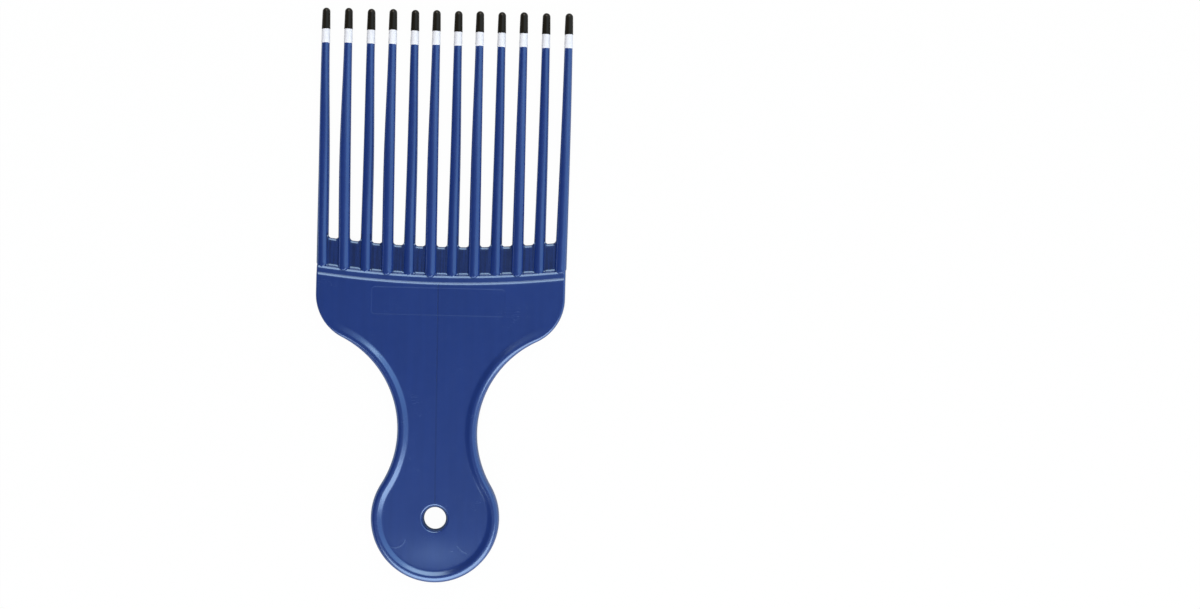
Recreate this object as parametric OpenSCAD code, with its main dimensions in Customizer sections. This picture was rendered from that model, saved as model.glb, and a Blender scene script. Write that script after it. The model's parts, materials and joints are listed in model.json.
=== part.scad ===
// Twelve-tooth wide pick comb with dipped tooth tips. The real comb is one moulding. Here its body
// ends just above the web, and each free tooth is a node of its own that stands flush on its root.
// It lies flat on its back: X runs across it, +Y points to the tooth tips, +Z is up.
// The origin is under the middle of the whole comb, on the surface that it lies on.

/* [Overall] */
// Length over all, from the round end of the handle to the tooth tips
overall_len = 165; // [155:1:180]
// Thickness over the rim of the handle
body_t = 5; // [4.8:0.1:5.6]
// Thickness between the flat faces of the handle and head
face_t = 3.8; // [3.6:0.1:4.2]

/* [Handle] */
// Diameter of the round end of the handle
bulb_d = 37; // [34:0.5:40]
// Width of the handle at its waist
waist_w = 23; // [20:0.5:26]
// Radius of the hollow curve on each side of the waist
waist_r = 29.5; // [28:0.5:31]
// Width of the rim, from the edge to the flat face inside it
rim_w = 3.5; // [3.2:0.1:3.8]
// Distance of the rim's crest from the edge, also the radius of its outer side
rim_r = 1.5; // [1.3:0.1:1.7]
// Height above the foot of the shoulders at which the rim has died into the head's face
rim_end_h = 3.2; // [2:0.2:4]
// Length along the comb over which it dies away
rim_fade_len = 7; // [5:0.5:9]
// Diameter of the hole for hanging the comb up
hole_d = 6.4; // [5:0.2:8]
// Radius of the hole's rounded lip
hole_lip_r = 0.8; // [0.4:0.1:1]

/* [Head] */
// Width of the head
head_w = 71.8; // [71:0.2:73]
// Radius of the head's two shoulders
shoulder_r = 14; // [12:0.5:16]
// Height of the straight side, from the shoulder to the step on the head's face
side_h = 3.5; // [2.5:0.5:6]
// Radius of the rounding along the head's sides
side_edge_r = 0.6; // [0.4:0.1:1]
// Radius of the arch that the step, the wall and the web's edge follow
arch_r = 288; // [250:2:330]
// Width of the sloping land between the step and the wall
land_w = 2.1; // [1.6:0.1:3]
// Depth of the step from the head's face down to the land
step_h = 0.35; // [0.2:0.05:0.6]
// Fall of the land towards the teeth
land_fall = 0.2; // [0.1:0.05:0.3]
// Width of the steep wall from the land down to the web
wall_w = 1.3; // [0.9:0.1:1.8]

/* [Web] */
// Height of the thin web between the tooth roots
web_h = 7.3; // [5:0.1:10]
// Thickness of the web
web_t = 1.4; // [1.2:0.1:1.6]
// Size of the bevel along the web's free edge
web_bevel = 0.3; // [0.1:0.05:0.5]
// Height of the small ledge at the foot of the wall
ledge_h = 0.15; // [0.1:0.05:0.3]
// Radius of the corners at the bottom of each gap, as a share of the gap's width
corner_share = 0.32; // [0.1:0.02:0.44]

/* [Teeth] */
// Number of teeth
tooth_count = 12; // [10:2:12]
// How far the outermost teeth stand out past the head's sides
tooth_overhang = 0.2; // [0:0.05:0.4]
// Width of a tooth at its root
root_w = 3.45; // [3:0.05:3.6]
// Depth of a tooth at its root
root_t = 3.3; // [3:0.1:3.5]
// Length of the rounded nose at a tooth's root, as a share of the root's width
nose_share = 0.4; // [0.3:0.05:0.6]
// Diameter of a tooth where its round tip starts
neck_d = 2.35; // [2.2:0.05:2.6]
// Diameter of the bare tip just below its round end
tip_d = 1.85; // [1.6:0.05:2]
// Distance of a tooth from the middle plane at its root and at its tip
bow_end = 0.3; // [0.1:0.05:0.4]
// Distance of a tooth from the middle plane halfway up
bow_mid = 1.05; // [0.5:0.05:1.05]
// How far the outermost tips lean outwards
tip_lean = 0.7; // [0:0.05:0.7]
// How far the first front tooth bows sideways halfway up
side_bow = 0.5; // [0:0.05:0.6]

/* [Dipped tips] */
// Depth of the white dip, from the tip of the bare tooth
white_dip = 9.9; // [7:0.1:14]
// Depth of the black dip, from the tip of the bare tooth
black_dip = 5.9; // [4:0.1:6.5]
// Thickness of each coat
coat_t = 0.1; // [0.08:0.01:0.2]
// Length of turned tip below the white dip
tip_margin = 0.6; // [0.4:0.1:1]

/* [Hidden] */
$fn = 96;
// Overrun of cuts and of buried ends
over = 0.5;
// How far apart surfaces are kept that would otherwise share a plane
plane_step = 0.02;
// How far the arched land stays inside the head's sides
bolster_inset = 0.1;
// Facets of the wide arch and of small rounds
arch_facets = 720;
small_facets = 32;

bulb_r = bulb_d / 2;
half_t = body_t / 2;
half_face = face_t / 2;
half_w = head_w / 2;
half_waist = waist_w / 2;

// Outline: the waist curve touches the round end and the shoulder
waist_x = half_waist + waist_r;
waist_y = sqrt(pow(bulb_r + waist_r, 2) - pow(waist_x, 2));
shoulder_x = half_w - shoulder_r;
shoulder_y = waist_y + sqrt(pow(waist_r + shoulder_r, 2) - pow(waist_x - shoulder_x, 2));
bulb_angle = atan2(waist_y, waist_x);
shoulder_angle = atan2(waist_y - shoulder_y, waist_x - shoulder_x);

// Heights along the comb, measured from the centre of the round end
tip_y = overall_len - bulb_r;
step_y = shoulder_y + side_h;
land_y = step_y + land_w;
foot_y = land_y + wall_w;
web_y = foot_y + web_h;
arch_y = land_y + arch_r;
rim_end_y = shoulder_y - shoulder_r + rim_end_h;
function arch_rise(x, radius) = radius - sqrt(radius * radius - x * x);

// Rim and edge
rim_h = half_t - half_face;
core_inset = 2 * side_edge_r;
core_depth = rim_w + over / 2;

// Teeth, spread evenly over the head's width
tooth_pitch = (head_w + 2 * tooth_overhang - root_w) / (tooth_count - 1);
gap_corner_r = corner_share * (tooth_pitch - root_w);
nose_len = nose_share * root_w;
loft_top_y = tip_y - 2 * coat_t - white_dip - tip_margin;
tip_len = tip_y - 2 * coat_t - loft_top_y;
tooth_sides = 16;
tooth_rings = 10;
root_rings = 2;
nose_angles = [18, 42, 66];

function two_digits(n) = str(n < 10 ? "0" : "", n);
function tooth_name(i) = str("tooth_", two_digits(i + 1));
function white_name(i) = str("white_band_", two_digits(i + 1));
function black_name(i) = str("black_tip_", two_digits(i + 1));

// Everything is drawn from the centre of the round end, and set in place here
module in_place() {
  translate([0, bulb_r - overall_len / 2, half_t]) children();
}

// The comb's outline, drawn in by a given inset
module outline(inset) {
  difference() {
    polygon([
      [0, 0],
      [waist_x, waist_y],
      [shoulder_x, shoulder_y],
      [-shoulder_x, shoulder_y],
      [-waist_x, waist_y]
    ]);
    for (side = [-1, 1])
      translate([side * waist_x, waist_y]) circle(waist_r + inset);
  }
  circle(bulb_r - inset);
  for (side = [-1, 1])
    translate([side * shoulder_x, shoulder_y]) circle(shoulder_r - inset);
  translate([inset - half_w, shoulder_y])
    square([head_w - 2 * inset, land_y - shoulder_y + over]);
}

// Flat part of the handle and head
module core() {
  linear_extrude(face_t, center = true)
    difference() {
      outline(core_inset);
      translate([0, arch_y]) circle(arch_r + land_w, $fn = arch_facets);
    }
}

// Path of the edge down the right side, as places and outward directions
corner_steps = 7;
waist_steps = 18;
bulb_steps = 12;
function turn(a) = [cos(a), sin(a)];
right_path = concat(
  [[[half_w, step_y + arch_rise(half_w, arch_r + land_w)], [1, 0]]],
  [for (k = [0 : corner_steps])
    let (a = shoulder_angle * k / corner_steps)
    [[shoulder_x, shoulder_y] + shoulder_r * turn(a), turn(a)]],
  [for (k = [1 : waist_steps])
    let (from = shoulder_angle + 180, to = bulb_angle + 180, a = from + (to - from) * k / waist_steps)
    [[waist_x, waist_y] + waist_r * turn(a), -turn(a)]],
  [for (k = [1 : bulb_steps])
    let (a = bulb_angle - (bulb_angle + 90) * k / bulb_steps)
    [bulb_r * turn(a), turn(a)]]
);
function mirrored(station) =
  [[-station[0][0], station[0][1]], [-station[1][0], station[1][1]]];
edge_path = concat(
  right_path,
  [for (k = [len(right_path) - 2 : -1 : 0]) mirrored(right_path[k])]
);

// How much of the rim stands at a height along the comb: 1 on the handle, 0 on the head
function ease(share) = share * share * (3 - 2 * share);
function rim_share(y) = ease(min(1, max(0, (rim_end_y - y) / rim_fade_len)));

// Section of the edge as [depth from the outline, height]: on the handle a rounded rim that slopes
// down to the flat face inside it, on the head only the small rounding
outer_steps = 4;
slope_steps = 5;
buried_z = web_t / 4;
function half_section(rim) =
  let (
    r = side_edge_r + (rim_r - side_edge_r) * rim,
    crest = half_face - plane_step + (rim_h + plane_step) * rim,
    fall = (rim_h + plane_step) * rim + plane_step
  )
  concat(
    [for (k = [0 : outer_steps])
      let (a = 180 - 90 * k / outer_steps) [r + r * cos(a), crest - r + r * sin(a)]],
    [for (k = [1 : slope_steps])
      let (share = k / slope_steps) [r + (rim_w - r) * share, crest - fall * (1 - cos(180 * share)) / 2]],
    [[core_depth, buried_z]]
  );
function section(rim) =
  let (half = half_section(rim))
  concat(half, [for (k = [len(half) - 1 : -1 : 0]) [half[k][0], -half[k][1]]]);

// Faces of a tube made of equal rings, with flat ends
function tube_faces(rings, sides) = concat(
  [[for (k = [0 : sides - 1]) k]],
  [for (j = [0 : rings - 2], k = [0 : sides - 1])
    let (a = j * sides + k, b = j * sides + (k + 1) % sides)
    each [[a, a + sides, b], [b, a + sides, b + sides]]],
  [[for (k = [sides - 1 : -1 : 0]) (rings - 1) * sides + k]]
);

// Rim and rounded edge, in one sweep from one side of the head round to the other
module edge_band() {
  rings = [for (station = edge_path)
    [for (point = section(rim_share(station[0][1])))
      let (flat = station[0] - point[0] * station[1]) [flat[0], flat[1], point[1]]]];
  points = [for (ring = rings) each ring];
  polyhedron(points, tube_faces(len(rings), len(rings[0])), convexity = 6);
}

// Arched land, wall, ledge and web, turned as one profile about the arch's centre
module bolster() {
  land_z = half_face - step_h;
  upper = [
    [arch_r - wall_w - web_h, web_t / 2 - web_bevel],
    [arch_r - wall_w - web_h + web_bevel, web_t / 2],
    [arch_r - wall_w - ledge_h, web_t / 2],
    [arch_r - wall_w, web_t / 2 + ledge_h],
    [arch_r, land_z - land_fall],
    [arch_r + land_w, land_z],
    [arch_r + land_w + 2 * over, land_z]
  ];
  spread = asin((half_w + rim_w) / (arch_r - wall_w - web_h));
  intersection() {
    translate([0, arch_y])
      rotate([0, 0, -90 - spread])
        rotate_extrude(angle = 2 * spread, $fn = arch_facets)
          polygon(concat(upper, [for (k = [len(upper) - 1 : -1 : 0]) [upper[k][0], -upper[k][1]]]));
    translate([bolster_inset - half_w, step_y - 2 * over, -half_t])
      cube([head_w - 2 * bolster_inset, web_y - step_y + half_w, body_t]);
  }
}

// Middle line of a tooth: its root, its bow to the front or back, and its lean
function tooth_place(i) = 2 * i / (tooth_count - 1) - 1;
function tooth_front(i) = i % 2 == 0 ? -1 : 1;
function root_x(i) = (i - (tooth_count - 1) / 2) * tooth_pitch;
function tooth_x(i, share) =
  root_x(i) + tip_lean * pow(tooth_place(i), 3) * sin(90 * share)
  - max(tooth_front(i), 0) * side_bow * (1 - tooth_place(i)) / 2 * (1 - cos(360 * share)) / 2;
function tooth_z(i, share) =
  tooth_front(i) * (bow_end + (bow_mid - bow_end) * (1 - cos(360 * share)) / 2);

// Where a tooth's nose starts, where its even taper starts, and where its root ends above the web
function nose_y(i) = land_y + arch_rise(root_x(i), arch_r);
function shaft_y(i) = nose_y(i) + nose_len;
function cut_share(i) =
  (web_y + arch_rise(root_x(i), arch_r) + 2 * gap_corner_r - shaft_y(i)) / (loft_top_y - shaft_y(i));

// A ring of the tooth at a share of its taper, moved down and shrunk for the nose. Its flats lie at
// the full width and depth.
function tooth_ring(i, share, drop, size) =
  let (
    reach = size / cos(180 / tooth_sides),
    w = reach * (root_w + (neck_d - root_w) * share),
    t = reach * (root_t + (neck_d - root_t) * share),
    y = shaft_y(i) + (loft_top_y - shaft_y(i)) * share - drop
  )
  [for (k = [0 : tooth_sides - 1])
    let (a = -360 * (k + 0.5) / tooth_sides)
    [tooth_x(i, share) + w / 2 * cos(a), y, tooth_z(i, share) + t / 2 * sin(a)]];
module loft(rings) {
  polyhedron([for (ring = rings) each ring], tube_faces(len(rings), tooth_sides), convexity = 4);
}

// The root belongs to the body: its nose stands on the wall, and it ends flat just above the web
module tooth_root(i) {
  loft(concat(
    [for (a = nose_angles) tooth_ring(i, 0, nose_len * cos(a), sin(a))],
    [for (j = [0 : root_rings]) tooth_ring(i, cut_share(i) * j / root_rings, 0, 1)]
  ));
}

// The free tooth grows out of its root without a step
module tooth_shaft(i) {
  loft([for (j = [0 : tooth_rings])
    tooth_ring(i, cut_share(i) + (1 - cut_share(i)) * j / tooth_rings, 0, 1)]);
  at_tip(i)
    rotate_extrude($fn = small_facets)
      polygon(concat([[0, -over]], bullet(0, -over), [[0, tip_len]]));
}

// The round tip stands on the end of the shaft, and the coats fit it
module at_tip(i) {
  translate([tooth_x(i, 1), loft_top_y, tooth_z(i, 1)]) rotate([-90, 0, 0]) children();
}
tip_r = tip_d / 2;
neck_r = neck_d / 2 - plane_step;
cone_len = tip_len - tip_r;
cone_angle = asin((neck_r - tip_r) / cone_len);
bullet_steps = 6;
// Half profile of the tip as [radius, height] from a given height up, grown by a coat
function bullet(grow, from) =
  let (r = tip_r + grow)
  concat(
    [[(r + (cone_len - from) * sin(cone_angle)) / cos(cone_angle), from]],
    [for (k = [0 : bullet_steps - 1])
      let (a = cone_angle + (90 - cone_angle) * k / bullet_steps)
      [r * cos(a), cone_len + r * sin(a)]]
  );
// A coat is the space between two grown tips, from its dip line up
module coat(i, inner, outer, dip) {
  from = tip_len - dip;
  inside = bullet(inner, from);
  outside = bullet(outer, from);
  at_tip(i)
    rotate_extrude($fn = small_facets)
      polygon(concat(
        outside,
        [[0, cone_len + tip_r + outer], [0, cone_len + tip_r + inner]],
        [for (k = [len(inside) - 1 : -1 : 0]) inside[k]]
      ));
}

// Small round corners where each gap's bottom meets the teeth
module gap_corners() {
  linear_extrude(web_t - 2 * plane_step, center = true)
    for (i = [0 : tooth_count - 1], side = [-1, 1])
      if ((i > 0 || side > 0) && (i < tooth_count - 1 || side < 0))
        let (
          share = (web_y - foot_y) / (loft_top_y - foot_y),
          flank = side * (root_w + (neck_d - root_w) * share) / 2,
          x = tooth_x(i, share) + flank
        )
        translate([x, web_y + arch_rise(x, arch_r)])
          scale([side, 1])
            difference() {
              translate([-over, -over]) square(gap_corner_r + over);
              translate([gap_corner_r, gap_corner_r]) circle(gap_corner_r, $fn = small_facets);
            }
}

// Hole with a rounded lip on both faces
module hanging_hole() {
  hole_r = hole_d / 2;
  cylinder(h = body_t + 2 * over, r = hole_r, center = true);
  for (face = [0, 1])
    mirror([0, 0, face])
      translate([0, 0, half_face - hole_lip_r])
        rotate_extrude()
          difference() {
            square([hole_r + hole_lip_r, hole_lip_r + over]);
            translate([hole_r + hole_lip_r, 0]) circle(hole_lip_r, $fn = small_facets);
          }
}

module comb_body() {
  color([0.16, 0.26, 0.55])
    in_place()
      difference() {
        union() {
          core();
          edge_band();
          bolster();
          gap_corners();
          for (i = [0 : tooth_count - 1]) tooth_root(i);
        }
        hanging_hole();
      }
}

module tooth(i) {
  color([0.16, 0.26, 0.55]) in_place() tooth_shaft(i);
}

module white_band(i) {
  color([0.93, 0.93, 0.97]) in_place() coat(i, 0, coat_t, white_dip);
}

module black_tip(i) {
  color([0.14, 0.13, 0.12]) in_place() coat(i, coat_t, 2 * coat_t, black_dip);
}

comb_body();
for (i = [0 : tooth_count - 1]) {
  tooth(i);
  white_band(i);
  black_tip(i);
}
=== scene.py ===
import json
import math

import bpy
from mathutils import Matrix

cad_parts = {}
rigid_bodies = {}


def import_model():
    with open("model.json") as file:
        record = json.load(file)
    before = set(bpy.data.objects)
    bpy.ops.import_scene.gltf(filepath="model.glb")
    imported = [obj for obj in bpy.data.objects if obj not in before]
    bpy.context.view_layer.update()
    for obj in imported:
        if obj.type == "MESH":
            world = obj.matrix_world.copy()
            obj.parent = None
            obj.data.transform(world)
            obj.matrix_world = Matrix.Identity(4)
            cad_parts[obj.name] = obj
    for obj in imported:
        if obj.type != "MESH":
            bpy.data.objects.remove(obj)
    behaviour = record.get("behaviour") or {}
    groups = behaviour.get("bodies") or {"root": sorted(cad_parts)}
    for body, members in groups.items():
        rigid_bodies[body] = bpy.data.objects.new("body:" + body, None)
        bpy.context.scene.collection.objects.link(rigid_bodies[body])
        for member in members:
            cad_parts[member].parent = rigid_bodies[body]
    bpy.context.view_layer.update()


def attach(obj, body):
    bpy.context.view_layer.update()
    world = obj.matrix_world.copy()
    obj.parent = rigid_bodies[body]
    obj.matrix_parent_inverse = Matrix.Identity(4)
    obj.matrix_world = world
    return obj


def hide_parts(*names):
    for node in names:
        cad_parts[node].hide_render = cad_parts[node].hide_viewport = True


for leftover in list(bpy.data.objects):
    bpy.data.objects.remove(leftover)
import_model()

# The camera looks straight down on the comb, as the photograph does. The comb lies a little turned
# to it, left of the middle of the picture. Lens and place were fitted to the comb's outline.
photo_turn = math.radians(1.445)
camera_data = bpy.data.cameras.new("photo_camera")
camera_data.sensor_fit = "HORIZONTAL"
camera_data.sensor_width = 36.0
camera_data.lens = 51.965
camera_data.clip_start = 0.05
camera_data.clip_end = 10.0
camera = bpy.data.objects.new("photo_camera", camera_data)
camera.location = (0.04602, -0.00123, 0.5025)
camera.rotation_euler = (0.0, 0.0, photo_turn)
bpy.context.scene.collection.objects.link(camera)
bpy.context.scene.camera = camera


# The handle, head and web: one injection moulding in hard glossy plastic, with a raised rim along
# the handle's edge. Its two halves meet at the middle plane, where the mould parted. The mesh runs
# in rows across the comb, each from the parting line on one side over the face to the other.
MM = 0.001
END_Y = -64.0       # middle of the round end, along the comb
MID_Z = 2.5         # the parting plane

bulb_r = 18.5
half_waist = 11.5
waist_r = 29.5
shoulder_r = 14.0
half_head = 35.9
half_thick = 2.5    # from the parting plane to the rim's crest
half_face = 1.9     # and to the flat face
rim_w = 3.5
rim_r = 1.5         # rounding of the rim's outer side
head_edge_r = 0.6   # rounding of the head's sides
side_h = 3.5        # straight side, from the shoulder to the step
land_w = 2.1
wall_w = 1.3
web_h = 7.3
arch_r = 288.0
rim_end_h = 6.7     # height over the shoulders' foot at which the rim has died
rim_fade_len = 14.0
waist_x = half_waist + waist_r
waist_y = math.sqrt((bulb_r + waist_r) ** 2 - waist_x ** 2)
shoulder_x = half_head - shoulder_r
shoulder_y = waist_y + math.sqrt((waist_r + shoulder_r) ** 2 - (waist_x - shoulder_x) ** 2)
bulb_angle = math.atan2(waist_y, waist_x)
shoulder_angle = math.atan2(waist_y - shoulder_y, waist_x - shoulder_x)
step_y = shoulder_y + side_h
land_y = step_y + land_w
foot_y = land_y + wall_w
web_y = foot_y + web_h
arch_y = land_y + arch_r
rim_end_y = shoulder_y - shoulder_r + rim_end_h


def smooth(share):
    """0 up to 0, 1 from 1 on, and an even S-curve between them"""
    share = min(1.0, max(0.0, share))
    return share * share * (3 - 2 * share)


def rounded_side(height, radius):
    """Points (depth, height) from the parting line up the side and over its rounding. The side leans
    in a little, as the mould needs."""
    lean = 0.06
    points = [(0.0, 0.0), (0.03, 0.07), (0.05, (height - radius) * 0.6)]
    for step in range(10):
        angle = math.pi - math.pi / 2 * step / 9
        inset = lean * (1 - step / 9)
        points.append((inset + radius + radius * math.cos(angle), height - radius + radius * math.sin(angle)))
    return points


# How the rim falls from its crest to the face, as shares of its width and height: a narrow top, an
# even slope and a gentler foot
inner_slope = ((0.10, 0.005), (0.19, 0.015), (0.26, 0.040), (0.33, 0.105), (0.44, 0.265),
               (0.57, 0.455), (0.70, 0.645), (0.82, 0.820), (0.92, 0.935), (1.0, 1.0))
slope_end = rim_w - 0.12
section_end = rim_w + 0.5


def edge_section(place_y):
    """Points (depth, height) from the parting line over the edge to the flat face, at a height along
    the comb. On the handle the rim is full, and on the head the edge is only rounded."""
    rim = smooth((rim_end_y - place_y) / rim_fade_len)
    radius = head_edge_r + (rim_r - head_edge_r) * rim
    crest = half_face + (half_thick - half_face) * rim
    points = rounded_side(crest, radius)
    for share, fall in inner_slope:
        points.append((radius + (slope_end - radius) * share, crest - (crest - half_face) * 0.98 * fall))
    return points + [(rim_w + 0.06, half_face), (section_end, half_face)]


side_count = len(edge_section(0.0))


def head_section(height, radius, last):
    """The same number of points on the head, whose edge is rounded, ending at a given depth"""
    points = rounded_side(height, radius)
    steps = side_count - len(points)
    for step in range(1, steps + 1):
        points.append((radius + (last - radius) * step / steps, height))
    return points


class Shell:
    """Collects the front half of the moulding and gives back both halves as one mesh"""

    def __init__(self):
        self.points = []
        self.faces = []
        self.index = {}

    def at(self, x, y, z):
        key = (round(x, 4), round(y, 4), round(z, 4))
        if key not in self.index:
            self.index[key] = len(self.points)
            self.points.append((x, y, z))
        return self.index[key]

    def face(self, corners):
        ring = []
        for corner in corners:
            if corner not in ring:
                ring.append(corner)
        if len(ring) > 2:
            self.faces.append(ring)

    def strip(self, lower, upper):
        """Quads between two rows of equal length, the first row nearer to the handle"""
        for k in range(len(lower) - 1):
            self.face([lower[k], lower[k + 1], upper[k + 1], upper[k]])

    def mesh(self, name):
        points = list(self.points)
        back = {}
        for number, (x, y, z) in enumerate(self.points):
            if abs(z) < 1e-6:
                back[number] = number
            else:
                back[number] = len(points)
                points.append((x, y, -z))
        faces = list(self.faces)
        for ring in self.faces:
            mirrored = [back[corner] for corner in reversed(ring)]
            if set(mirrored) != set(ring):
                faces.append(mirrored)
        made = bpy.data.meshes.new(name)
        made.from_pydata([(x * MM, (y + END_Y) * MM, (z + MID_Z) * MM) for x, y, z in points], [], faces)
        made.validate()
        return made


plate = Shell()


def side_points(place, outward, section):
    """The section at one place on the right edge, and its mirror image on the left, both from the
    parting line inwards"""
    right = []
    left = []
    for depth, height in section:
        x = place[0] - depth * outward[0]
        y = place[1] - depth * outward[1]
        right.append(plate.at(x, y, height))
        left.append(plate.at(-x, y, height))
    return left, right


# Round end: sections all round it, then flat rings in to the hole and over its rounded lip.
hole_r = 3.2
lip_w = 1.0
lip_bend = 0.5
lip_steps = 6
bulb_steps = 44
hole_rings = [(6.6, half_face), (hole_r + lip_w + 0.25, half_face)]
for step in range(lip_steps + 1):
    angle = math.radians(62.0) * step / lip_steps
    hole_rings.append((
        hole_r + lip_w - lip_bend * math.sin(angle), half_face - lip_bend * (1 - math.cos(angle))))
hole_rings += [(hole_r + 0.06, half_face - 1.18), (hole_r, half_face - 1.32), (hole_r, 0.0)]
bulb_rows = []
for step in range(bulb_steps + 1):
    angle = -math.pi / 2 + (bulb_angle + math.pi / 2) * step / bulb_steps
    outward = (math.cos(angle), math.sin(angle))
    left, right = side_points((bulb_r * outward[0], bulb_r * outward[1]), outward, edge_section(0.0))
    for radius, height in hole_rings:
        right.append(plate.at(radius * outward[0], radius * outward[1], height))
        left.append(plate.at(-radius * outward[0], radius * outward[1], height))
    bulb_rows.append((left, right))
for (left_low, right_low), (left_high, right_high) in zip(bulb_rows, bulb_rows[1:]):
    plate.strip(right_high, right_low)
    plate.strip(left_low, left_high)
top_steps = 40
top_rows = []
for step in range(top_steps + 1):
    angle = bulb_angle + (math.pi - 2 * bulb_angle) * step / top_steps
    top_rows.append([plate.at(radius * math.cos(angle), radius * math.sin(angle), height)
                     for radius, height in hole_rings])
for low, high in zip(top_rows, top_rows[1:]):
    plate.strip(high, low)

# Waist and shoulders: rows across the handle, whose ends carry the rim.
waist_steps = 56
corner_steps = 26
stations = []
for step in range(waist_steps + 1):
    angle = bulb_angle + math.pi + (shoulder_angle - bulb_angle) * step / waist_steps
    turn = (math.cos(angle), math.sin(angle))
    stations.append(((waist_x + waist_r * turn[0], waist_y + waist_r * turn[1]), (-turn[0], -turn[1])))
for step in range(1, corner_steps + 1):
    angle = shoulder_angle * (1.0 - step / corner_steps)
    turn = (math.cos(angle), math.sin(angle))
    stations.append(((shoulder_x + shoulder_r * turn[0], shoulder_y + shoulder_r * turn[1]), turn))
rows = []
for place, outward in stations:
    left, right = side_points(place, outward, edge_section(place[1]))
    x, y, z = plate.points[right[-1]]
    rows.append(left + [plate.at(share * x, y, z) for share in (-0.96, -0.5, 0.0, 0.5, 0.96)] + right[::-1])
for low, high in zip(rows, rows[1:]):
    plate.strip(low, high)

# The flat between the hole's rings and the first row across the waist
first = rows[0]
plate.face([top_rows[step][0] for step in range(top_steps, -1, -1)]
           + [first[k] for k in range(len(first) - side_count, side_count - 2, -1)])

# Head: the face runs flat to the arched step, then come the sloping land, the wall with its tabs
# and the thin web, whose free edge is bevelled and turns up in a round corner beside each tooth.
tooth_count = 12
middle_tooth = (tooth_count - 1) / 2
tooth_pitch = 6.25
tooth_lean = 0.7     # how far the outermost teeth lean out at their tips
side_bow = 0.25      # how far the leftmost tooth bows to the left halfway up
web_share = 0.105    # how far up its teeth the web's free edge lies
web_flank = 1.63     # from a tooth's middle to the web beside it
corner_r = 0.9
side_depth = 1.2
web_columns = []
for number in range(tooth_count):
    place = number / middle_tooth - 1
    bow = (number % 2) * side_bow * (1 - place) / 2 * (1 - math.cos(2 * math.pi * web_share)) / 2
    lean = tooth_lean * place ** 3 * math.sin(math.pi / 2 * web_share)
    web_columns.append((number - middle_tooth) * tooth_pitch + lean - bow)
columns = web_columns[1:-1]
for number, middle in enumerate(web_columns):
    for side in (-1, 1):
        if 0 <= number + side < tooth_count:
            for gap in (0.0, 0.015, 0.05, 0.11, 0.2, 0.3, 0.4, 0.5, 0.6, 0.75, 0.9, 1.15):
                columns.append(middle + side * (web_flank + gap))
columns.sort()


def gap_to_tooth(x):
    """How far x lies from the nearest tooth's flank, and 0 outside the outermost teeth"""
    if abs(x) > abs(web_columns[-1]):
        return 0.0
    return min(abs(x - middle) for middle in web_columns) - web_flank


def corner_rise(x):
    """How far the web's free edge turns up beside a tooth"""
    gap = min(corner_r, max(0.0, gap_to_tooth(x)))
    return corner_r - math.sqrt(corner_r ** 2 - (corner_r - gap) ** 2)


def draw_back(x):
    """How far the foot of the wall draws back towards the land beside a tooth"""
    return 0.2 * smooth((0.35 - gap_to_tooth(x)) / 0.3)


web_radius = arch_y - web_y
wall_radius = arch_y - foot_y
land_radius = arch_y - land_y
step_radius = arch_y - step_y
land_z = half_face - 0.35
wall_top_z = land_z - 0.1
half_web = 0.6
# Each row runs along the arch: its radius, its height, how much it turns up beside a tooth, and how
# much it draws back there, which gives the wall between two teeth the shape of a small tab.
arch_rows = [
    (step_radius + 0.9, half_face, 0.0, 0.0),
    (step_radius + 0.26, half_face, 0.0, 0.0),
    (step_radius + 0.19, half_face - 0.015, 0.0, 0.0),
    (step_radius + 0.12, half_face - 0.045, 0.0, 0.0),
    (step_radius - 0.24, half_face - 0.20, 0.0, 0.0),
    (step_radius - 0.31, land_z + 0.09, 0.0, 0.0),
    (step_radius - 0.38, land_z + 0.02, 0.0, 0.0),
    (step_radius - 0.44, land_z, 0.0, 0.0),
    (step_radius - 0.6, land_z - 0.004, 0.0, 0.0),
    (land_radius + 0.6, wall_top_z + 0.02, 0.0, 0.0),
    (land_radius + 0.38, wall_top_z + 0.012, 0.0, 0.0),
    (land_radius + 0.30, wall_top_z - 0.005, 0.0, 0.0),
    (land_radius + 0.23, wall_top_z - 0.035, 0.0, 0.0),
    (land_radius - 0.20, wall_top_z - 0.20, 0.0, 0.0),
    (land_radius - 0.26, wall_top_z - 0.26, 0.0, 0.1),
    (wall_radius + 0.56, half_web + 0.14, 0.0, 1.0),
    (wall_radius + 0.50, half_web + 0.112, 0.0, 1.0),
    (wall_radius + 0.20, half_web + 0.006, 0.0, 1.0),
    (wall_radius + 0.12, half_web + 0.001, 0.0, 1.0),
    (wall_radius + 0.0, half_web, 0.0, 1.0),
    (wall_radius - 0.10, half_web, 0.0, 1.0),
    (web_radius + 2.2, half_web, 0.0, 0.0),
    (web_radius + 1.5, half_web, 0.25, 0.0),
    (web_radius + 0.74, half_web, 1.0, 0.0),
    (web_radius + 0.66, half_web - 0.012, 1.0, 0.0),
    (web_radius + 0.59, half_web - 0.04, 1.0, 0.0),
    (web_radius + 0.22, half_web - 0.21, 1.0, 0.0),
    (web_radius + 0.15, half_web - 0.28, 1.0, 0.0),
    (web_radius + 0.02, half_web - 0.48, 1.0, 0.0),
]


def arch_point(x, radius, height, rise, draw):
    y = arch_y - math.sqrt(radius * radius - x * x) + rise * corner_rise(x) - draw * draw_back(x)
    return plate.at(x, y, height)


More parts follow.
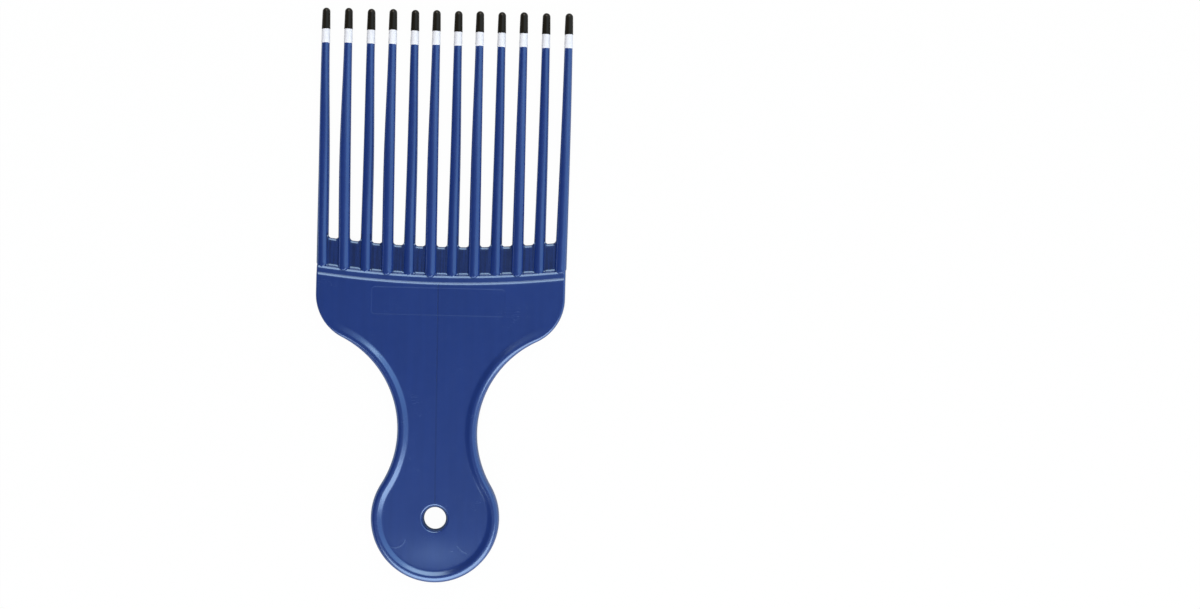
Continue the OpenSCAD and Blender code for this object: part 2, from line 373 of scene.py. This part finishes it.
last_row = rows[-1]
head_rows = []
for share in (0.35, 0.75):
    last = section_end + (side_depth - section_end) * share
    left = []
    right = []
    for depth, height in head_section(half_face, head_edge_r, last):
        x = half_head - depth
        y = shoulder_y + (arch_y - math.sqrt(arch_rows[0][0] ** 2 - x * x) - shoulder_y) * share
        right.append(plate.at(x, y, height))
        left.append(plate.at(-x, y, height))
    head_rows.append((left, right))
arches = []
for radius, height, rise, draw in arch_rows:
    left = []
    right = []
    for depth, level in head_section(height, min(head_edge_r, height * 0.5), side_depth):
        right.append(arch_point(half_head - depth, radius, level, rise, draw))
        left.append(arch_point(depth - half_head, radius, level, rise, draw))
    arches.append(left + [arch_point(x, radius, height, rise, draw) for x in columns] + right[::-1])
lower_left, lower_right = last_row[:side_count], last_row[-side_count:][::-1]
for left, right in head_rows + [(arches[0][:side_count], arches[0][-side_count:][::-1])]:
    plate.strip(lower_left, left)
    plate.strip(right, lower_right)
    lower_left, lower_right = left, right
plate.face(last_row[side_count - 1:len(last_row) - side_count + 1]
           + [right[-1] for left, right in head_rows]
           + arches[0][side_count - 1:len(arches[0]) - side_count + 1][::-1]
           + [left[-1] for left, right in head_rows][::-1])
for low, high in zip(arches, arches[1:]):
    plate.strip(low, high)
edge_row = [plate.at(x, y, 0.0) for x, y, z in (plate.points[k] for k in arches[-1])]
plate.strip(arches[-1], edge_row)

moulding_mesh = plate.mesh("comb_moulding")
moulding = bpy.data.objects.new("comb_moulding", moulding_mesh)
bpy.context.scene.collection.objects.link(moulding)


# The teeth belong to the same moulding. Each starts as a round nose against the wall, runs down over
# the web, and tapers evenly, bowed to the front or the back in turn, to a round tip under the coats.
class Bench:
    """Adds nodes to one tree"""

    def __init__(self, tree):
        self.tree = tree

    def node(self, kind, settings=None, inputs=None, output=0):
        made = self.tree.nodes.new(kind)
        for name, value in (settings or {}).items():
            setattr(made, name, value)
        for key, value in (inputs or {}).items():
            if isinstance(value, Wire):
                self.tree.links.new(value.socket, made.inputs[key])
            else:
                made.inputs[key].default_value = value
        return Wire(self, made.outputs[output])

    def mix(self, factor, first, second):
        return self.node("ShaderNodeMix", {"data_type": "RGBA"}, {0: factor, 6: first, 7: second}, 2)

    def vector(self, operation, first, second, output=0):
        return self.node("ShaderNodeVectorMath", {"operation": operation}, {0: first, 1: second}, output)

    def parts(self, vector):
        """The three components of a vector"""
        split = self.tree.nodes.new("ShaderNodeSeparateXYZ")
        self.tree.links.new(vector.socket, split.inputs[0])
        return [Wire(self, split.outputs[k]) for k in range(3)]


class Wire:
    """One value in a node tree. Arithmetic on it adds Math nodes."""

    def __init__(self, bench, socket):
        self.bench = bench
        self.socket = socket

    def maths(self, operation, *others):
        inputs = {0: self}
        for place, other in enumerate(others):
            inputs[place + 1] = other
        return self.bench.node("ShaderNodeMath", {"operation": operation}, inputs)

    def __add__(self, other):
        return self.maths("ADD", other)

    def __radd__(self, other):
        return self.maths("ADD", other)

    def __sub__(self, other):
        return self.maths("SUBTRACT", other)

    def __rsub__(self, other):
        return (self * -1.0).maths("ADD", other)

    def __mul__(self, other):
        return self.maths("MULTIPLY", other)

    def __rmul__(self, other):
        return self.maths("MULTIPLY", other)

    def __truediv__(self, other):
        return self.maths("DIVIDE", other)

    def __rtruediv__(self, other):
        return (self ** -1.0) * other

    def __pow__(self, other):
        return self.maths("POWER", other)

    def sin(self):
        return self.maths("SINE")

    def cos(self):
        return self.maths("COSINE")

    def size(self):
        return self.maths("ABSOLUTE")

    def within(self):
        """Held between 0 and 1"""
        return self.maths("MAXIMUM", 0.0).maths("MINIMUM", 1.0)

    def ramp(self, low, high):
        """0 below low, 1 above high, straight between them"""
        return ((self - low) * (1.0 / (high - low))).within()


def geometry_tree(name, numbers):
    """A Geometry Nodes tree with one geometry input and named numbers, and its bench and inputs"""
    tree = bpy.data.node_groups.new(name, "GeometryNodeTree")
    tree.interface.new_socket("Geometry", in_out="INPUT", socket_type="NodeSocketGeometry")
    for label, value in numbers:
        kind = "NodeSocketInt" if isinstance(value, int) else "NodeSocketFloat"
        socket = tree.interface.new_socket(label, in_out="INPUT", socket_type=kind)
        socket.default_value = value
    tree.interface.new_socket("Material", in_out="INPUT", socket_type="NodeSocketMaterial")
    tree.interface.new_socket("Geometry", in_out="OUTPUT", socket_type="NodeSocketGeometry")
    bench = Bench(tree)
    entry = tree.nodes.new("NodeGroupInput")
    inputs = {socket.name: Wire(bench, socket) for socket in entry.outputs if socket.name}
    return tree, bench, inputs


def finish_tree(bench, points, inputs):
    """Smooth faces, Realize Instances, Set Material and the output"""
    shaded = bench.node("GeometryNodeSetShadeSmooth", None, {"Geometry": points})
    real = bench.node("GeometryNodeRealizeInstances", None, {"Geometry": shaded})
    dressed = bench.node("GeometryNodeSetMaterial", None, {"Geometry": real, "Material": inputs["Material"]})
    leave = bench.tree.nodes.new("NodeGroupOutput")
    bench.tree.links.new(dressed.socket, leave.inputs[0])


def grown(name, tree, values, material):
    """A new object with the mesh that a tree gives for some values"""
    carrier = bpy.data.objects.new(name + "_carrier", bpy.data.meshes.new(name + "_carrier"))
    bpy.context.scene.collection.objects.link(carrier)
    modifier = carrier.modifiers.new("tree", "NODES")
    modifier.node_group = tree
    for socket in tree.interface.items_tree:
        if socket.in_out == "INPUT" and socket.name in values:
            modifier[socket.identifier] = values[socket.name]
        if socket.in_out == "INPUT" and socket.name == "Material":
            modifier[socket.identifier] = material
    evaluated = carrier.evaluated_get(bpy.context.evaluated_depsgraph_get())
    mesh = bpy.data.meshes.new_from_object(evaluated)
    mesh.name = name
    bpy.data.objects.remove(carrier)
    made = bpy.data.objects.new(name, mesh)
    bpy.context.scene.collection.objects.link(made)
    return made


def tooth_line(number, share, inputs):
    """Where the middle of a tooth lies across the comb and above the parting plane"""
    place = number * (1.0 / middle_tooth) - 1.0
    odd = number.maths("MODULO", 2.0)
    swing = (1.0 - (share * (2.0 * math.pi)).cos()) * 0.5
    across = ((number - middle_tooth) * inputs["Pitch"]
              + inputs["Lean"] * place * place * place * (share * (math.pi / 2)).sin()
              - odd * inputs["Side bow"] * (1.0 - place) * 0.5 * swing)
    bow = inputs["Bow at the ends"] + (inputs["Bow midway"] - inputs["Bow at the ends"]) * swing
    return across, (odd * 2.0 - 1.0) * bow


def to_frame(bench, across, along, above):
    """A place in metres in the comb's frame from millimetres off the round end's middle"""
    return bench.node("ShaderNodeCombineXYZ", None, {
        0: across * MM,
        1: (along + END_Y) * MM,
        2: (above + MID_Z) * MM,
    })


tooth_numbers = [
    ("Pitch", tooth_pitch),
    ("Lean", tooth_lean),
    ("Side bow", side_bow),
    ("Bow at the ends", 0.3),
    ("Bow midway", 1.05),
]
white_dip = 9.9
black_dip = 5.9
bare_tip_y = 146.3                         # end of the tooth under both coats
loft_top_y = bare_tip_y - white_dip - 0.6  # where the even taper ends, just below the white coat
tip_len = bare_tip_y - loft_top_y
tip_r = 1.85 / 2
neck_r = 2.35 / 2
cone_foot_r = 1.132
cone_len = tip_len - tip_r
cone_angle = math.asin((cone_foot_r - tip_r) / cone_len)

nose_rings, shaft_rings, cone_rings, cap_rings = 9, 56, 6, 9
cone_from = nose_rings + shaft_rings
cap_from = cone_from + cone_rings
all_rings = cap_from + cap_rings
tree, bench, inputs = geometry_tree("tooth_row", [("Teeth", tooth_count), ("Sides", 40)] + tooth_numbers + [
    ("Root width", 3.449),
    ("Root depth", 3.3),
    ("Squareness", 2.5),
    ("Swell", 0.36),
    ("Nose", 1.38),
    ("Overlap", 0.22),
    ("Neck", 2 * neck_r),
    ("Arch radius", arch_r),
])
spots = bench.node("GeometryNodePoints", None, {"Count": inputs["Teeth"]})
rod = bench.node("GeometryNodeMeshCylinder", {"fill_type": "NGON"}, {
    "Vertices": inputs["Sides"], "Side Segments": all_rings, "Radius": 1.0, "Depth": float(all_rings)})
row = bench.node("GeometryNodeInstanceOnPoints", None, {"Points": spots, "Instance": rod})
marked = bench.node("GeometryNodeStoreNamedAttribute", {"data_type": "FLOAT", "domain": "INSTANCE"}, {
    "Geometry": row, "Name": "tooth", "Value": bench.node("GeometryNodeInputIndex")})
loose = bench.node("GeometryNodeRealizeInstances", None, {"Geometry": marked})
number = bench.node("GeometryNodeInputNamedAttribute", {"data_type": "FLOAT"}, {"Name": "tooth"})
number = number.maths("ROUND")
round_x, round_z, ring = bench.parts(bench.node("GeometryNodeInputPosition"))
ring = (ring + all_rings / 2).maths("ROUND")

# The section is round at the nose and at the tip, a little squarer along the shaft, and blunt where
# the nose ends, so that it has a flat top there.
square = ring.ramp(nose_rings + 9, nose_rings + 31) - ring.ramp(cone_from - 14, cone_from)
nose_share = ring.ramp(0, nose_rings)
blunt = (1.0 - nose_share) ** 0.7
power = 1.0 + (2.0 / inputs["Squareness"] - 1.0) * (square * 0.9 + 0.1) - blunt * 0.55
flat_x = round_x.size() ** power * round_x.maths("SIGN")
flat_z = round_z.size() ** power * round_z.maths("SIGN")

# Stages along the tooth: the nose turns all but a few degrees of a quarter circle, and the shaft,
# the cone and the round cap follow.
nose_turn = nose_share * math.radians(86.0) + math.radians(4.0)
share = ring.ramp(nose_rings, cone_from)
cone_share = ring.ramp(cone_from, cap_from)
cap_turn = ring.ramp(cap_from, all_rings) * (math.radians(88.0) - cone_angle) + cone_angle
tip_radius = (1.0 - cone_share) * (neck_r - tip_r * math.cos(cone_angle)) + cap_turn.cos() * tip_r
tip_along = (cone_share * (cone_len + tip_r * math.sin(cone_angle))
             + (cap_turn.sin() - math.sin(cone_angle)) * tip_r)
root_across = (number - middle_tooth) * inputs["Pitch"]
arch = inputs["Arch radius"]
odd = number.maths("MODULO", 2.0)
nose_end = arch - (arch * arch - root_across * root_across).maths("SQRT") + land_y - odd * inputs["Overlap"]
shaft_start = nose_end + inputs["Nose"]
along = shaft_start + (loft_top_y - shaft_start) * share - inputs["Nose"] * nose_turn.cos() + tip_along
across, above = tooth_line(number, share, inputs)
slim = tip_radius / neck_r
midway = (1.0 - (share * (2.0 * math.pi)).cos()) * 0.5
swell = inputs["Swell"] * midway * (1.0 - number * (0.5 / middle_tooth)) * (odd * 0.5 + 0.5)
width = swell + inputs["Root width"] + (inputs["Neck"] - inputs["Root width"]) * share
depth = inputs["Root depth"] + (inputs["Neck"] - inputs["Root depth"]) * share
half_width = slim * nose_turn.sin() * width * 0.5
half_depth = slim * nose_turn.sin() ** 0.012 * depth * 0.5
shaped = bench.node("GeometryNodeSetPosition", None, {
    "Geometry": loose,
    "Position": to_frame(
        bench, across + swell * 0.5 - half_width * flat_x, along, above + half_depth * flat_z)})
finish_tree(bench, shaped, inputs)


def new_finish(name):
    """A node material: its bench, its shader node, and the place on the surface in millimetres"""
    material = bpy.data.materials.new(name)
    material.use_nodes = True
    material.node_tree.nodes.clear()
    bench = Bench(material.node_tree)
    shader = material.node_tree.nodes.new("ShaderNodeBsdfPrincipled")
    out = material.node_tree.nodes.new("ShaderNodeOutputMaterial")
    material.node_tree.links.new(shader.outputs[0], out.inputs[0])
    spot = bench.node("ShaderNodeTexCoord", None, None, "Object")
    spot = bench.vector("MULTIPLY", spot, (1000.0, 1000.0, 1000.0))
    return material, bench, shader, spot


def noise(bench, spot, scale, detail, seed, stretch=(1.0, 1.0, 1.0)):
    """Soft noise from 0 to 1, with features of about 1 / (scale * stretch) millimetres"""
    moved = bench.vector("MULTIPLY", spot, stretch)
    moved = bench.vector("ADD", moved, (seed * 17.3, seed * 5.1, seed * 9.7))
    return bench.node("ShaderNodeTexNoise", {"noise_dimensions": "3D"}, {
        "Vector": moved, "Scale": scale, "Detail": detail, "Roughness": 0.55}, "Fac")


def dress(bench, shader, colour, rough, height, ior):
    """Wires colour, roughness and a relief in millimetres to the shader"""
    bump = bench.node("ShaderNodeBump", None, {"Strength": 1.0, "Distance": MM, "Height": height})
    for name, wire in (("Base Color", colour), ("Roughness", rough), ("Normal", bump)):
        bench.tree.links.new(wire.socket, shader.inputs[name])
    shader.inputs["IOR"].default_value = ior


def distance(x, y, centre_x, centre_y):
    return ((x - centre_x) ** 2.0 + (y - centre_y) ** 2.0).maths("SQRT")


# Moulded blue plastic: glossy, a little wavy where it shrank, with flow streaks in line with the
# teeth and fine handling scratches. On the front are the outline of a mould insert and a flow line.
blue, bench, shader, spot = new_finish("blue_moulded_plastic")
x, y, z = bench.parts(spot)
out_y = y - END_Y
reach = distance(x, out_y, 0.0, 0.0)
front = z.ramp(4.3, 4.38)
deep_blue = (0.0062, 0.0264, 0.181, 1.0)
soft_blue = (0.0090, 0.0330, 0.214, 1.0)
rubbed_blue = (0.07, 0.11, 0.28, 1.0)
# Dark blue for the flow line, and painted shade for the web between the teeth
flow_line_and_painted_shade = (0.002, 0.008, 0.07, 1.0)
# Near black: painted shade for the inside of the hole
painted_hole_shade = (0.0005, 0.002, 0.015, 1.0)
cloud = noise(bench, spot, 0.06, 3.0, 1.0)
streak = noise(bench, spot, 1.0, 2.0, 2.0, (0.55, 0.035, 0.2))

# The insert is a rectangle with round corners, about (-0.5, -1.6), and lies lower than the face by a
# hair. The flow line runs from the hole up into the head.
insert_x = (x + 0.5).size() - 18.2
insert_y = (y + 1.6).size() - 2.9
insert_reach = (distance(insert_x.maths("MAXIMUM", 0.0), insert_y.maths("MAXIMUM", 0.0), 0.0, 0.0)
                + insert_x.maths("MAXIMUM", insert_y).maths("MINIMUM", 0.0) - 1.0)
insert = (1.0 - insert_reach.ramp(-0.16, 0.16)) * front
insert_line = (1.0 - insert_reach.size().ramp(0.04, 0.26)) * front
witness = (1.0 - (x + 0.62 + y * 0.0095).size().ramp(0.12, 0.34)) * front
witness = witness * y.ramp(-62.0, -61.5) * (1.0 - y.ramp(4.2, 4.6))

waves = noise(bench, spot, 0.14, 1.0, 3.0)
grain = noise(bench, spot, 5.0, 2.0, 4.0)
scratches = 0.0
for seed, stretch, weight in ((5.0, (0.15, 3.6, 0.5), 0.6), (6.0, (3.1, 0.22, 0.5), 0.4)):
    scratch = noise(bench, spot, 1.0, 4.0, seed, stretch)
    scratches = (1.0 - (scratch - 0.5).size().ramp(0.0, 0.012)) * weight + scratches
scratches = scratches * noise(bench, spot, 0.11, 2.0, 7.0).ramp(0.5, 0.72)

# The round end sinks slightly towards its lower rim, and carries three faint curved scuffs.
down = -1.0 * out_y
lower = (down / reach.maths("MAXIMUM", 2.0)).within()
fall = reach.ramp(5.0, 15.6)
dish = fall * fall * (3.0 - fall * 2.0) * lower ** 4.0 * front
left_scuff = (1.0 - (distance(x, out_y, -11.3, -5.55) - 3.1).size().ramp(0.05, 0.3)) * (
    (x - out_y).ramp(-6.0, -2.0) * down.ramp(5.6, 7.0))
right_scuff = (1.0 - (distance(x, out_y, 11.6, -3.9) - 6.3).size().ramp(0.05, 0.4)) * (
    x.ramp(5.6, 7.5) * (1.0 - x.ramp(9.0, 10.6)) * down.ramp(5.0, 7.0))
short_scuff = (1.0 - (distance(x, out_y, 6.6, -16.2) - 7.0).size().ramp(0.05, 0.4)) * (
    x.ramp(3.6, 5.0) * (1.0 - x.ramp(5.4, 6.6)) * down.ramp(7.0, 8.0)) * (1.0 - down.ramp(11.0, 12.0))
rubs = (left_scuff + right_scuff * 0.7 + short_scuff * 0.5) * front

# The wall of the hole is matt, and painted near black as shade inside the hole. The web, thin and low between
# the teeth, is darkened with painted shade and has vertical streaks.
hole_wall = (1.0 - reach.ramp(3.38, 3.62)) * (1.0 - (z - MID_Z).size().ramp(1.9, 1.95))
web_part = y.ramp(6.4, 6.9) * (1.0 - y.ramp(17.3, 17.6)) * (1.0 - (z - MID_Z).size().ramp(0.7, 0.8))
drawn = noise(bench, spot, 1.0, 2.0, 9.0, (1.6, 0.05, 0.2))

colour = bench.mix((cloud * 0.5 + streak * 0.5).ramp(0.3, 0.7), deep_blue, soft_blue)
for share, tone in (
        (scratches * 0.18, rubbed_blue),
        (witness * 0.3, flow_line_and_painted_shade),
        # painted shade: the web is darkened, with darker vertical streaks
        (web_part * drawn.ramp(0.42, 0.58) * 0.5 + web_part * 0.4, flow_line_and_painted_shade),
        (insert_line * 0.035 + rubs * 0.07, rubbed_blue),
        # painted shade: the hole's wall is made near black
        (hole_wall * 0.9, painted_hole_shade)):
    colour = bench.mix(share, colour, tone)
rough = noise(bench, spot, 0.5, 2.0, 8.0) * 0.06 + scratches * 0.1 + rubs * 0.1 + hole_wall * 0.6 + 0.2
relief = (waves * 0.03 + grain * 0.0002 - insert * 0.032 - witness * 0.012 - scratches * 0.0016
          - dish * 0.36 + rubs * 0.004)
dress(bench, shader, colour, rough, relief, 1.95)
shader.inputs["Specular IOR Level"].default_value = 1.0
shader.inputs["Specular Tint"].default_value = (0.5, 0.7, 1.0, 1.0)

moulding_mesh.materials.append(blue)
teeth = grown("tooth_row", tree, {}, blue)
union = moulding.modifiers.new("union", "BOOLEAN")
union.operation = "UNION"
union.solver = "MANIFOLD"
union.object = teeth
joined = bpy.data.meshes.new_from_object(moulding.evaluated_get(bpy.context.evaluated_depsgraph_get()))
joined.name = "comb_moulding"
moulding.modifiers.remove(union)
moulding.data = joined
bpy.data.objects.remove(teeth)
for polygon in joined.polygons:
    polygon.use_smooth = True
joined.set_sharp_from_angle(angle=math.radians(34.0))
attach(moulding, "root")
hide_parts("comb_body", *["tooth_%02d" % (k + 1) for k in range(tooth_count)])


# White first coat: each tooth's end was dipped in white lacquer. It is a thin closed cup with a
# rounded lip, a little uneven where the dip ended, and most of it is under the black coat.
cap_count, wall_count, lip_count = 8, 7, 6     # rings from the inner cap over the lip to the outer cap
coat_rings = 2 * cap_count + 2 * wall_count + lip_count
coat_tree, bench, inputs = geometry_tree("dipped_coat", [
    ("Tooth", 0), ("Share of the tooth", 1.0), ("Sides", 36), ("Seed", 0)] + tooth_numbers + [
    ("Inner", 0.0), ("Outer", 0.1), ("Dip", white_dip), ("Wobble", 0.05)])
rod = bench.node("GeometryNodeMeshCylinder", {"fill_type": "NGON"}, {
    "Vertices": inputs["Sides"], "Side Segments": coat_rings, "Radius": 1.0, "Depth": float(coat_rings)})
round_x, round_z, ring = bench.parts(bench.node("GeometryNodeInputPosition"))
ring = (ring + coat_rings / 2).maths("ROUND")
turn = round_z.maths("ARCTAN2", round_x)
chance = [bench.node("FunctionNodeRandomValue", {"data_type": "FLOAT"}, {
    2: 0.0, 3: 2 * math.pi, "ID": inputs["Tooth"], "Seed": inputs["Seed"] + float(k)}, 1) for k in range(3)]
uneven = (turn + chance[0]).sin() * chance[2].sin() + (turn * 2.0 + chance[1]).sin() * 0.5
line = tip_len - inputs["Dip"] + inputs["Wobble"] * uneven
stages = []
start = 0
for count in (cap_count, wall_count, lip_count, wall_count, cap_count):
    stages.append(ring.ramp(start, start + count))
    start += count
coat_foot_r = 1.155
slope = (coat_foot_r - tip_r) / cone_len
steep = math.atan(slope)


def coat_wall(grow, cap_share, wall_share):
    """Radius and height of a coat's wall: cap_share is 0 at the pole and 1 at the cone, and
    wall_share is 1 at the dip line"""
    rho = inputs[grow] + tip_r
    turn_up = (1.0 - cap_share) * (math.radians(88.0) - steep) + steep
    drop = (rho * math.sin(steep) + cone_len - line) * wall_share
    return turn_up.cos() * rho + drop * slope, turn_up.sin() * rho + cone_len - drop


inner_radius, inner_height = coat_wall("Inner", stages[0], stages[1])
outer_radius, outer_height = coat_wall("Outer", 1.0 - stages[4], 1.0 - stages[3])
over = (1.0 - (stages[2] * math.pi).cos()) * 0.5
thick = inputs["Outer"] - inputs["Inner"]
coat_radius = inner_radius + (outer_radius - inner_radius) * over
coat_height = inner_height + (outer_height - inner_height) * over - (stages[2] * math.pi).sin() * thick * 0.5
across, above = tooth_line(inputs["Tooth"], inputs["Share of the tooth"], inputs)
shaped = bench.node("GeometryNodeSetPosition", None, {
    "Geometry": rod,
    "Position": to_frame(
        bench, across - coat_radius * round_x, coat_height + loft_top_y, above + coat_radius * round_z)})
finish_tree(bench, shaped, inputs)

white, bench, shader, spot = new_finish("white_dip_coat")
mottle = noise(bench, spot, 1.3, 3.0, 11.0)
colour = bench.mix(mottle.ramp(0.35, 0.65), (0.89, 0.875, 0.96, 1.0), (0.92, 0.905, 0.985, 1.0))
rough = noise(bench, spot, 3.0, 2.0, 12.0) * 0.15 + 0.36
relief = noise(bench, spot, 1.1, 1.0, 13.0) * 0.01 + noise(bench, spot, 9.0, 2.0, 14.0) * 0.0015
dress(bench, shader, colour, rough, relief, 1.5)
for k in range(tooth_count):
    coat = grown("white_coat_%02d" % (k + 1), coat_tree, {
        "Tooth": k, "Seed": 3, "Inner": -0.02, "Outer": 0.1, "Dip": white_dip}, white)
    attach(coat, "root")
    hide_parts("white_band_%02d" % (k + 1))


# Black second coat: the last six millimetres were dipped again in black lacquer, which covers the
# end of the white coat and dried glossy, with faint runs along the tooth.
black, bench, shader, spot = new_finish("black_dip_coat")
runs = noise(bench, spot, 1.0, 2.0, 21.0, (2.4, 0.12, 2.4))
colour = bench.mix(runs.ramp(0.3, 0.7), (0.0095, 0.0078, 0.0050, 1.0), (0.0165, 0.0140, 0.0105, 1.0))
rough = noise(bench, spot, 1.6, 3.0, 22.0) * 0.1 + 0.1
relief = runs * 0.03 + noise(bench, spot, 7.0, 2.0, 23.0) * 0.0015
dress(bench, shader, colour, rough, relief, 1.5)
shader.inputs["Specular IOR Level"].default_value = 0.35
shader.inputs["Specular Tint"].default_value = (1.0, 0.88, 0.8, 1.0)
for k in range(tooth_count):
    coat = grown("black_coat_%02d" % (k + 1), coat_tree, {
        "Tooth": k, "Seed": 8, "Inner": 0.08, "Outer": 0.198, "Dip": black_dip}, black)
    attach(coat, "root")
    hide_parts("black_tip_%02d" % (k + 1))


# Photo floor: a sheet of white board a hair under the comb. To the camera it is almost white, with a
# trace of the comb's soft shadow, and in the comb's own mirror images it is dim.
floor_half = 3.0
floor_z = -0.00002
floor_mesh = bpy.data.meshes.new("floor")
corners = [(x * floor_half, y * floor_half, floor_z) for x, y in ((-1, -1), (1, -1), (1, 1), (-1, 1))]
floor_mesh.from_pydata(corners, [], [(0, 1, 2, 3)])
floor = bpy.data.objects.new("floor", floor_mesh)
bpy.context.scene.collection.objects.link(floor)
paper = bpy.data.materials.new("white_board")
paper.use_nodes = True
paper.node_tree.nodes.clear()
bench = Bench(paper.node_tree)
light_path = paper.node_tree.nodes.new("ShaderNodeLightPath")
seen = Wire(bench, light_path.outputs["Is Camera Ray"])
mirrored = Wire(bench, light_path.outputs["Is Glossy Ray"])
mirrored = mirrored.maths("MAXIMUM", Wire(bench, light_path.outputs["Is Transmission Ray"]))
seen = seen + mirrored * 0.25
lit = bench.node("ShaderNodeBsdfDiffuse", None, {
    "Color": bench.mix(seen, (0.4, 0.4, 0.4, 1.0), (0.9, 0.9, 0.9, 1.0))})
bright = bench.node("ShaderNodeEmission", None, {"Color": (1.0, 1.0, 1.0, 1.0), "Strength": 1.0})
board = bench.node("ShaderNodeMixShader", None, {0: seen * 0.97, 1: lit, 2: bright})
out = paper.node_tree.nodes.new("ShaderNodeOutputMaterial")
paper.node_tree.links.new(board.socket, out.inputs[0])
floor_mesh.materials.append(paper)


def softbox(name, azimuth, off_zenith, width, height, radiance, colour):
    """A rectangular area lamp a metre from the comb that faces it. The angles say where it stands:
    azimuth from +X towards +Y, and how far it leans off the vertical."""
    lamp = bpy.data.lights.new(name, "AREA")
    lamp.shape = "RECTANGLE"
    lamp.size = width
    lamp.size_y = height
    lamp.energy = radiance * math.pi * width * height
    lamp.color = colour
    holder = bpy.data.objects.new(name, lamp)
    lean = math.radians(off_zenith)
    turn = math.radians(azimuth)
    holder.location = (math.sin(lean) * math.cos(turn), math.sin(lean) * math.sin(turn), math.cos(lean))
    holder.rotation_euler = (-holder.location).to_track_quat("-Z", "Y").to_euler()
    bpy.context.scene.collection.objects.link(holder)


# Two soft boxes stand beyond the tips and beyond the handle, in a room with a dark ceiling and a
# bright horizon. Three bright patches in it give the highlights along the teeth, the head's corners
# and the round end. The camera itself sees the room white.
softbox("tip_softbox", 86, 49, 0.75, 0.8, 2.1, (1.0, 0.96, 0.82))
softbox("handle_softbox", -82, 53, 1.6, 1.1, 2.5, (1.0, 1.0, 0.95))
world = bpy.data.worlds.new("studio")
bpy.context.scene.world = world
world.use_nodes = True
world.node_tree.nodes.clear()
bench = Bench(world.node_tree)
toward = bench.node("ShaderNodeTexCoord", None, None, "Generated")
x, y, z = bench.parts(toward)
side = bench.vector("DOT_PRODUCT", toward, (0.826, 0.072, 0.559), 1).ramp(0.6, 1.0) ** 1.2
foot = (-1.0 * y).ramp(0.0, 0.42) ** 2.0 * (1.0 - (x + 0.1).size().ramp(0.08, 0.42)) * z.ramp(0.35, 0.75)
tips = bench.vector("DOT_PRODUCT", toward, (0.27, 0.582, 0.767), 1).ramp(0.8, 0.985)
patches = side * 0.66 + foot * 0.8 + tips * 0.85
strength = 1.0 - z.ramp(0.07, 0.2) * 0.94 + patches
unseen = 1.0 - bench.node("ShaderNodeLightPath", None, None, "Is Camera Ray")
room = bench.node("ShaderNodeBackground", None, {
    "Color": bench.mix((patches * 1.6).within() * unseen, (1.0, 1.0, 1.0, 1.0), (0.6, 0.82, 1.0, 1.0)),
    "Strength": (strength - 1.0) * unseen + 1.0})
out = world.node_tree.nodes.new("ShaderNodeOutputWorld")
world.node_tree.links.new(room.socket, out.inputs[0])

bpy.context.scene.view_settings.view_transform = "Standard"
bpy.context.view_layer.update()
